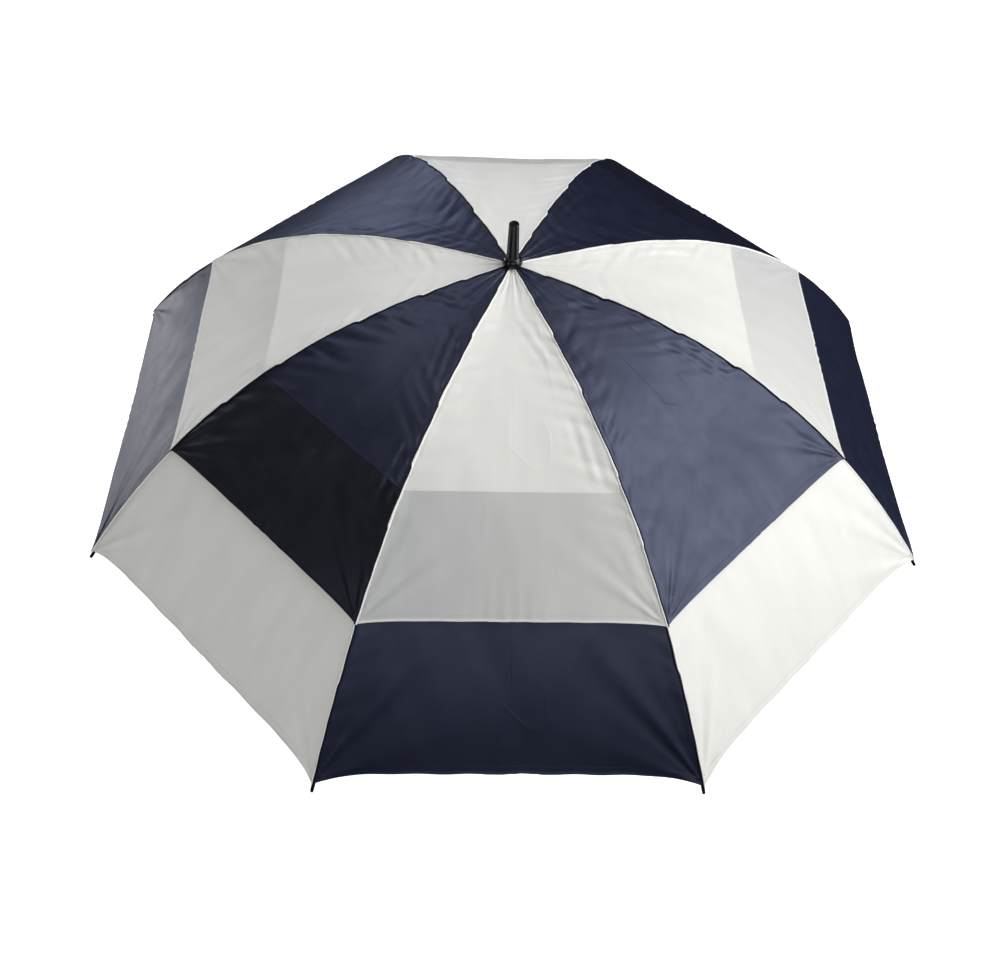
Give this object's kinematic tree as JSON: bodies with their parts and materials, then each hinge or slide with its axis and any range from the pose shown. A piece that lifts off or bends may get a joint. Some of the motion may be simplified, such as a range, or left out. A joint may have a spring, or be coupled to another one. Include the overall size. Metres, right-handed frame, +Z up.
{
  "type": "golf umbrella",
  "caption": "Vented double-canopy golf umbrella with alternating navy and white gores, hinged ribs and stretchers on a sliding runner, straight foam grip and push button",
  "frame": {"origin": "centre of the handle's bottom face, where a hand or a holder takes the grip", "axes": "+Z up the shaft to the ferrule, -Y the front with the push button, +X to the right seen from the front; millimetres in the sources, metres in the row"},
  "size_m": [1.1914, 1.1914, 0.993],
  "materials": {
    "shaft_steel": "gloss black lacquered steel tube",
    "black_plastic": "gloss black moulded plastic",
    "hub_plastic": "black moulded nylon",
    "pin_steel": "bright steel wire",
    "end_cap_plastic": "fine-textured black plastic",
    "grip_foam": "closed-cell black foam",
    "button_plastic": "satin grey plastic",
    "rib_rod": "black glass-fibre rod with steel fittings",
    "stretcher_steel": "black painted pressed steel",
    "navy_cloth": "shiny navy pongee, slight sheen",
    "white_cloth": "white pongee, slight sheen"
  },
  "bodies": {
    "main": {"shaft_tube": "shaft_steel", "ferrule": "black_plastic", "crown_cap": "black_plastic", "top_notch": "hub_plastic", "notch_pins": "pin_steel", "end_cap": "end_cap_plastic", "foam_grip": "grip_foam", "handle_collar": "black_plastic"},
    "button": {"push_button": "button_plastic"},
    "runner": {"runner": "hub_plastic", "runner_pins": "pin_steel"},
    "inner_rib_1": {"rib_inner_1": "rib_rod", "upper_panel_1": "navy_cloth"},
    "outer_rib_1": {"rib_outer_1": "rib_rod", "rib_tip_1": "black_plastic", "lower_panel_1": "white_cloth"},
    "stretcher_arm_1": {"stretcher_1": "stretcher_steel"},
    "inner_rib_2": {"rib_inner_2": "rib_rod", "upper_panel_2": "white_cloth"},
    "outer_rib_2": {"rib_outer_2": "rib_rod", "rib_tip_2": "black_plastic", "lower_panel_2": "navy_cloth"},
    "stretcher_arm_2": {"stretcher_2": "stretcher_steel"},
    "inner_rib_3": {"rib_inner_3": "rib_rod", "upper_panel_3": "navy_cloth"},
    "outer_rib_3": {"rib_outer_3": "rib_rod", "rib_tip_3": "black_plastic", "lower_panel_3": "white_cloth"},
    "stretcher_arm_3": {"stretcher_3": "stretcher_steel"},
    "inner_rib_4": {"rib_inner_4": "rib_rod", "upper_panel_4": "white_cloth"},
    "outer_rib_4": {"rib_outer_4": "rib_rod", "rib_tip_4": "black_plastic", "lower_panel_4": "navy_cloth"},
    "stretcher_arm_4": {"stretcher_4": "stretcher_steel"},
    "inner_rib_5": {"rib_inner_5": "rib_rod", "upper_panel_5": "navy_cloth"},
    "outer_rib_5": {"rib_outer_5": "rib_rod", "rib_tip_5": "black_plastic", "lower_panel_5": "white_cloth"},
    "stretcher_arm_5": {"stretcher_5": "stretcher_steel"},
    "inner_rib_6": {"rib_inner_6": "rib_rod", "upper_panel_6": "white_cloth"},
    "outer_rib_6": {"rib_outer_6": "rib_rod", "rib_tip_6": "black_plastic", "lower_panel_6": "navy_cloth"},
    "stretcher_arm_6": {"stretcher_6": "stretcher_steel"},
    "inner_rib_7": {"rib_inner_7": "rib_rod", "upper_panel_7": "navy_cloth"},
    "outer_rib_7": {"rib_outer_7": "rib_rod", "rib_tip_7": "black_plastic", "lower_panel_7": "white_cloth"},
    "stretcher_arm_7": {"stretcher_7": "stretcher_steel"},
    "inner_rib_8": {"rib_inner_8": "rib_rod", "upper_panel_8": "white_cloth"},
    "outer_rib_8": {"rib_outer_8": "rib_rod", "rib_tip_8": "black_plastic", "lower_panel_8": "navy_cloth"},
    "stretcher_arm_8": {"stretcher_8": "stretcher_steel"}
  },
  "joints": [
    {"name": "canopy_fold", "type": "hinge", "parent": "main", "child": "inner_rib_1", "pos_m": [0.00612, -0.01478, 0.917], "axis": [0.9239, 0.3827, 0], "range_deg": [0, 73.5], "deforming": ["upper_panel_1", "lower_panel_1", "upper_panel_2", "lower_panel_2", "upper_panel_3", "lower_panel_3", "upper_panel_4", "lower_panel_4", "upper_panel_5", "lower_panel_5", "upper_panel_6", "lower_panel_6", "upper_panel_7", "lower_panel_7", "upper_panel_8", "lower_panel_8"]},
    {"name": "outer_rib_hinge_1", "type": "hinge", "parent": "inner_rib_1", "child": "outer_rib_1", "pos_m": [0.1347, -0.32521, 0.841], "axis": [0.9239, 0.3827, 0], "range_deg": [-23.52, 0]},
    {"name": "stretcher_hinge_1", "type": "hinge", "parent": "inner_rib_1", "child": "stretcher_arm_1", "pos_m": [0.1347, -0.32521, 0.841], "axis": [0.9239, 0.3827, 0], "range_deg": [-147, 0]},
    {"name": "rib_hinge_2", "type": "hinge", "parent": "main", "child": "inner_rib_2", "pos_m": [0.01478, -0.00612, 0.917], "axis": [0.3827, 0.9239, 0], "range_deg": [0, 73.5]},
    {"name": "outer_rib_hinge_2", "type": "hinge", "parent": "inner_rib_2", "child": "outer_rib_2", "pos_m": [0.32521, -0.1347, 0.841], "axis": [0.3827, 0.9239, 0], "range_deg": [-23.52, 0]},
    {"name": "stretcher_hinge_2", "type": "hinge", "parent": "inner_rib_2", "child": "stretcher_arm_2", "pos_m": [0.32521, -0.1347, 0.841], "axis": [0.3827, 0.9239, 0], "range_deg": [-147, 0]},
    {"name": "rib_hinge_3", "type": "hinge", "parent": "main", "child": "inner_rib_3", "pos_m": [0.01478, 0.00612, 0.917], "axis": [-0.3827, 0.9239, 0], "range_deg": [0, 73.5]},
    {"name": "outer_rib_hinge_3", "type": "hinge", "parent": "inner_rib_3", "child": "outer_rib_3", "pos_m": [0.32521, 0.1347, 0.841], "axis": [-0.3827, 0.9239, 0], "range_deg": [-23.52, 0]},
    {"name": "stretcher_hinge_3", "type": "hinge", "parent": "inner_rib_3", "child": "stretcher_arm_3", "pos_m": [0.32521, 0.1347, 0.841], "axis": [-0.3827, 0.9239, 0], "range_deg": [-147, 0]},
    {"name": "rib_hinge_4", "type": "hinge", "parent": "main", "child": "inner_rib_4", "pos_m": [0.00612, 0.01478, 0.917], "axis": [-0.9239, 0.3827, 0], "range_deg": [0, 73.5]},
    {"name": "outer_rib_hinge_4", "type": "hinge", "parent": "inner_rib_4", "child": "outer_rib_4", "pos_m": [0.1347, 0.32521, 0.841], "axis": [-0.9239, 0.3827, 0], "range_deg": [-23.52, 0]},
    {"name": "stretcher_hinge_4", "type": "hinge", "parent": "inner_rib_4", "child": "stretcher_arm_4", "pos_m": [0.1347, 0.32521, 0.841], "axis": [-0.9239, 0.3827, 0], "range_deg": [-147, 0]},
    {"name": "rib_hinge_5", "type": "hinge", "parent": "main", "child": "inner_rib_5", "pos_m": [-0.00612, 0.01478, 0.917], "axis": [-0.9239, -0.3827, 0], "range_deg": [0, 73.5]},
    {"name": "outer_rib_hinge_5", "type": "hinge", "parent": "inner_rib_5", "child": "outer_rib_5", "pos_m": [-0.1347, 0.32521, 0.841], "axis": [-0.9239, -0.3827, 0], "range_deg": [-23.52, 0]},
    {"name": "stretcher_hinge_5", "type": "hinge", "parent": "inner_rib_5", "child": "stretcher_arm_5", "pos_m": [-0.1347, 0.32521, 0.841], "axis": [-0.9239, -0.3827, 0], "range_deg": [-147, 0]},
    {"name": "rib_hinge_6", "type": "hinge", "parent": "main", "child": "inner_rib_6", "pos_m": [-0.01478, 0.00612, 0.917], "axis": [-0.3827, -0.9239, 0], "range_deg": [0, 73.5]},
    {"name": "outer_rib_hinge_6", "type": "hinge", "parent": "inner_rib_6", "child": "outer_rib_6", "pos_m": [-0.32521, 0.1347, 0.841], "axis": [-0.3827, -0.9239, 0], "range_deg": [-23.52, 0]},
    {"name": "stretcher_hinge_6", "type": "hinge", "parent": "inner_rib_6", "child": "stretcher_arm_6", "pos_m": [-0.32521, 0.1347, 0.841], "axis": [-0.3827, -0.9239, 0], "range_deg": [-147, 0]},
    {"name": "rib_hinge_7", "type": "hinge", "parent": "main", "child": "inner_rib_7", "pos_m": [-0.01478, -0.00612, 0.917], "axis": [0.3827, -0.9239, 0], "range_deg": [0, 73.5]},
    {"name": "outer_rib_hinge_7", "type": "hinge", "parent": "inner_rib_7", "child": "outer_rib_7", "pos_m": [-0.32521, -0.1347, 0.841], "axis": [0.3827, -0.9239, 0], "range_deg": [-23.52, 0]},
    {"name": "stretcher_hinge_7", "type": "hinge", "parent": "inner_rib_7", "child": "stretcher_arm_7", "pos_m": [-0.32521, -0.1347, 0.841], "axis": [0.3827, -0.9239, 0], "range_deg": [-147, 0]},
    {"name": "rib_hinge_8", "type": "hinge", "parent": "main", "child": "inner_rib_8", "pos_m": [-0.00612, -0.01478, 0.917], "axis": [0.9239, -0.3827, 0], "range_deg": [0, 73.5]},
    {"name": "outer_rib_hinge_8", "type": "hinge", "parent": "inner_rib_8", "child": "outer_rib_8", "pos_m": [-0.1347, -0.32521, 0.841], "axis": [0.9239, -0.3827, 0], "range_deg": [-23.52, 0]},
    {"name": "stretcher_hinge_8", "type": "hinge", "parent": "inner_rib_8", "child": "stretcher_arm_8", "pos_m": [-0.1347, -0.32521, 0.841], "axis": [0.9239, -0.3827, 0], "range_deg": [-147, 0]},
    {"name": "runner_hinge", "type": "hinge", "parent": "stretcher_arm_1", "child": "runner", "pos_m": [0.00612, -0.01478, 0.765], "axis": [0.9239, 0.3827, 0], "range_deg": [0, 73.5]},
    {"name": "button_press", "type": "slide", "parent": "main", "child": "button", "axis": [0, 1, 0], "range_m": [0, 0.003], "stiffness_N_per_m": 600, "springref_m": -0.003}
  ],
  "couplings": [
    {"joint": "outer_rib_hinge_1", "follows": "canopy_fold", "ratio": -0.32},
    {"joint": "stretcher_hinge_1", "follows": "canopy_fold", "ratio": -2},
    {"joint": "rib_hinge_2", "follows": "canopy_fold", "ratio": 1},
    {"joint": "outer_rib_hinge_2", "follows": "canopy_fold", "ratio": -0.32},
    {"joint": "stretcher_hinge_2", "follows": "canopy_fold", "ratio": -2},
    {"joint": "rib_hinge_3", "follows": "canopy_fold", "ratio": 1},
    {"joint": "outer_rib_hinge_3", "follows": "canopy_fold", "ratio": -0.32},
    {"joint": "stretcher_hinge_3", "follows": "canopy_fold", "ratio": -2},
    {"joint": "rib_hinge_4", "follows": "canopy_fold", "ratio": 1},
    {"joint": "outer_rib_hinge_4", "follows": "canopy_fold", "ratio": -0.32},
    {"joint": "stretcher_hinge_4", "follows": "canopy_fold", "ratio": -2},
    {"joint": "rib_hinge_5", "follows": "canopy_fold", "ratio": 1},
    {"joint": "outer_rib_hinge_5", "follows": "canopy_fold", "ratio": -0.32},
    {"joint": "stretcher_hinge_5", "follows": "canopy_fold", "ratio": -2},
    {"joint": "rib_hinge_6", "follows": "canopy_fold", "ratio": 1},
    {"joint": "outer_rib_hinge_6", "follows": "canopy_fold", "ratio": -0.32},
    {"joint": "stretcher_hinge_6", "follows": "canopy_fold", "ratio": -2},
    {"joint": "rib_hinge_7", "follows": "canopy_fold", "ratio": 1},
    {"joint": "outer_rib_hinge_7", "follows": "canopy_fold", "ratio": -0.32},
    {"joint": "stretcher_hinge_7", "follows": "canopy_fold", "ratio": -2},
    {"joint": "rib_hinge_8", "follows": "canopy_fold", "ratio": 1},
    {"joint": "outer_rib_hinge_8", "follows": "canopy_fold", "ratio": -0.32},
    {"joint": "stretcher_hinge_8", "follows": "canopy_fold", "ratio": -2},
    {"joint": "runner_hinge", "follows": "canopy_fold", "ratio": 1}
  ]
}
